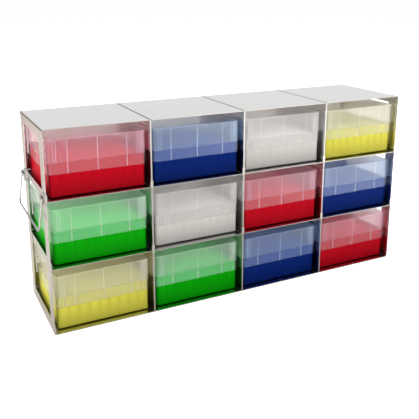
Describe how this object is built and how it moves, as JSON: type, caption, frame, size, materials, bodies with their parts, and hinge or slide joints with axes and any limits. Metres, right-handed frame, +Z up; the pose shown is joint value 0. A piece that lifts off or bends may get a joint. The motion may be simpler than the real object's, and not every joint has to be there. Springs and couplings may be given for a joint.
{
  "type": "freezer rack with cryogenic storage boxes",
  "caption": "Open-fronted sheet steel freezer rack whose bays hold square lidded plastic boxes with divided cells, with a wire bail handle at one end.",
  "frame": {"origin": "centre of the rack's flat underside", "axes": "+X along the rack, from the handle's end to the other; +Y from the open front, where the boxes are drawn out, to the back; +Z up"},
  "size_m": [0.5786, 0.14, 0.2776],
  "materials": {
    "sheet_steel": "fine satin sheet stainless steel",
    "ear_steel": "satin stainless steel",
    "wire_steel": "bright drawn stainless wire",
    "red_plastic": "moulded polypropylene, slightly translucent",
    "blue_plastic": "moulded polypropylene, slightly translucent",
    "green_plastic": "moulded polypropylene, slightly translucent",
    "yellow_plastic": "moulded polypropylene, translucent",
    "natural_plastic": "natural moulded polypropylene, translucent",
    "lid_plastic": "clear moulded plastic with a light haze"
  },
  "bodies": {
    "rack": {"base_tray": "sheet_steel", "tray_bumps": "sheet_steel", "column_1": "sheet_steel", "column_2": "sheet_steel", "column_3": "sheet_steel", "column_4": "sheet_steel", "shelf_c1r1": "sheet_steel", "shelf_c1r2": "sheet_steel", "shelf_c2r1": "sheet_steel", "shelf_c2r2": "sheet_steel", "shelf_c3r1": "sheet_steel", "shelf_c3r2": "sheet_steel", "shelf_c4r1": "sheet_steel", "shelf_c4r2": "sheet_steel", "handle_ear_front": "ear_steel", "handle_ear_back": "ear_steel"},
    "handle": {"handle": "wire_steel"},
    "box_c1r1": {"base_c1r1": "red_plastic", "cells_c1r1": "red_plastic"},
    "lid_c1r1": {"lid_c1r1": "lid_plastic"},
    "box_c1r2": {"base_c1r2": "green_plastic", "cells_c1r2": "green_plastic"},
    "lid_c1r2": {"lid_c1r2": "lid_plastic"},
    "box_c1r3": {"base_c1r3": "yellow_plastic", "cells_c1r3": "yellow_plastic"},
    "lid_c1r3": {"lid_c1r3": "lid_plastic"},
    "box_c2r1": {"base_c2r1": "blue_plastic", "cells_c2r1": "blue_plastic"},
    "lid_c2r1": {"lid_c2r1": "lid_plastic"},
    "box_c2r2": {"base_c2r2": "natural_plastic", "cells_c2r2": "natural_plastic"},
    "lid_c2r2": {"lid_c2r2": "lid_plastic"},
    "box_c2r3": {"base_c2r3": "green_plastic", "cells_c2r3": "green_plastic"},
    "lid_c2r3": {"lid_c2r3": "lid_plastic"},
    "box_c3r1": {"base_c3r1": "natural_plastic", "cells_c3r1": "natural_plastic"},
    "lid_c3r1": {"lid_c3r1": "lid_plastic"},
    "box_c3r2": {"base_c3r2": "red_plastic", "cells_c3r2": "red_plastic"},
    "lid_c3r2": {"lid_c3r2": "lid_plastic"},
    "box_c3r3": {"base_c3r3": "blue_plastic", "cells_c3r3": "blue_plastic"},
    "lid_c3r3": {"lid_c3r3": "lid_plastic"},
    "box_c4r1": {"base_c4r1": "yellow_plastic", "cells_c4r1": "yellow_plastic"},
    "lid_c4r1": {"lid_c4r1": "lid_plastic"},
    "box_c4r2": {"base_c4r2": "blue_plastic", "cells_c4r2": "blue_plastic"},
    "lid_c4r2": {"lid_c4r2": "lid_plastic"},
    "box_c4r3": {"base_c4r3": "red_plastic", "cells_c4r3": "red_plastic"},
    "lid_c4r3": {"lid_c4r3": "lid_plastic"}
  },
  "joints": [
    {"name": "handle_swing", "type": "hinge", "parent": "rack", "child": "handle", "pos_m": [-0.287, 0, 0.1916], "axis": [0, 1, 0], "range_deg": [0, 170]},
    {"name": "box_c1r1_slide", "type": "slide", "parent": "rack", "child": "box_c1r1", "axis": [0, -1, 0], "range_m": [0, 0.15]},
    {"name": "lid_c1r1_lift", "type": "slide", "parent": "box_c1r1", "child": "lid_c1r1", "axis": [0, 0, 1], "range_m": [0, 0.012]},
    {"name": "box_c1r2_slide", "type": "slide", "parent": "rack", "child": "box_c1r2", "axis": [0, -1, 0], "range_m": [0, 0.15]},
    {"name": "lid_c1r2_lift", "type": "slide", "parent": "box_c1r2", "child": "lid_c1r2", "axis": [0, 0, 1], "range_m": [0, 0.012]},
    {"name": "box_c1r3_slide", "type": "slide", "parent": "rack", "child": "box_c1r3", "axis": [0, -1, 0], "range_m": [0, 0.15]},
    {"name": "lid_c1r3_lift", "type": "slide", "parent": "box_c1r3", "child": "lid_c1r3", "axis": [0, 0, 1], "range_m": [0, 0.012]},
    {"name": "box_c2r1_slide", "type": "slide", "parent": "rack", "child": "box_c2r1", "axis": [0, -1, 0], "range_m": [0, 0.15]},
    {"name": "lid_c2r1_lift", "type": "slide", "parent": "box_c2r1", "child": "lid_c2r1", "axis": [0, 0, 1], "range_m": [0, 0.012]},
    {"name": "box_c2r2_slide", "type": "slide", "parent": "rack", "child": "box_c2r2", "axis": [0, -1, 0], "range_m": [0, 0.15]},
    {"name": "lid_c2r2_lift", "type": "slide", "parent": "box_c2r2", "child": "lid_c2r2", "axis": [0, 0, 1], "range_m": [0, 0.012]},
    {"name": "box_c2r3_slide", "type": "slide", "parent": "rack", "child": "box_c2r3", "axis": [0, -1, 0], "range_m": [0, 0.15]},
    {"name": "lid_c2r3_lift", "type": "slide", "parent": "box_c2r3", "child": "lid_c2r3", "axis": [0, 0, 1], "range_m": [0, 0.012]},
    {"name": "box_c3r1_slide", "type": "slide", "parent": "rack", "child": "box_c3r1", "axis": [0, -1, 0], "range_m": [0, 0.15]},
    {"name": "lid_c3r1_lift", "type": "slide", "parent": "box_c3r1", "child": "lid_c3r1", "axis": [0, 0, 1], "range_m": [0, 0.012]},
    {"name": "box_c3r2_slide", "type": "slide", "parent": "rack", "child": "box_c3r2", "axis": [0, -1, 0], "range_m": [0, 0.15]},
    {"name": "lid_c3r2_lift", "type": "slide", "parent": "box_c3r2", "child": "lid_c3r2", "axis": [0, 0, 1], "range_m": [0, 0.012]},
    {"name": "box_c3r3_slide", "type": "slide", "parent": "rack", "child": "box_c3r3", "axis": [0, -1, 0], "range_m": [0, 0.15]},
    {"name": "lid_c3r3_lift", "type": "slide", "parent": "box_c3r3", "child": "lid_c3r3", "axis": [0, 0, 1], "range_m": [0, 0.012]},
    {"name": "box_c4r1_slide", "type": "slide", "parent": "rack", "child": "box_c4r1", "axis": [0, -1, 0], "range_m": [0, 0.15]},
    {"name": "lid_c4r1_lift", "type": "slide", "parent": "box_c4r1", "child": "lid_c4r1", "axis": [0, 0, 1], "range_m": [0, 0.012]},
    {"name": "box_c4r2_slide", "type": "slide", "parent": "rack", "child": "box_c4r2", "axis": [0, -1, 0], "range_m": [0, 0.15]},
    {"name": "lid_c4r2_lift", "type": "slide", "parent": "box_c4r2", "child": "lid_c4r2", "axis": [0, 0, 1], "range_m": [0, 0.012]},
    {"name": "box_c4r3_slide", "type": "slide", "parent": "rack", "child": "box_c4r3", "axis": [0, -1, 0], "range_m": [0, 0.15]},
    {"name": "lid_c4r3_lift", "type": "slide", "parent": "box_c4r3", "child": "lid_c4r3", "axis": [0, 0, 1], "range_m": [0, 0.012]}
  ]
}
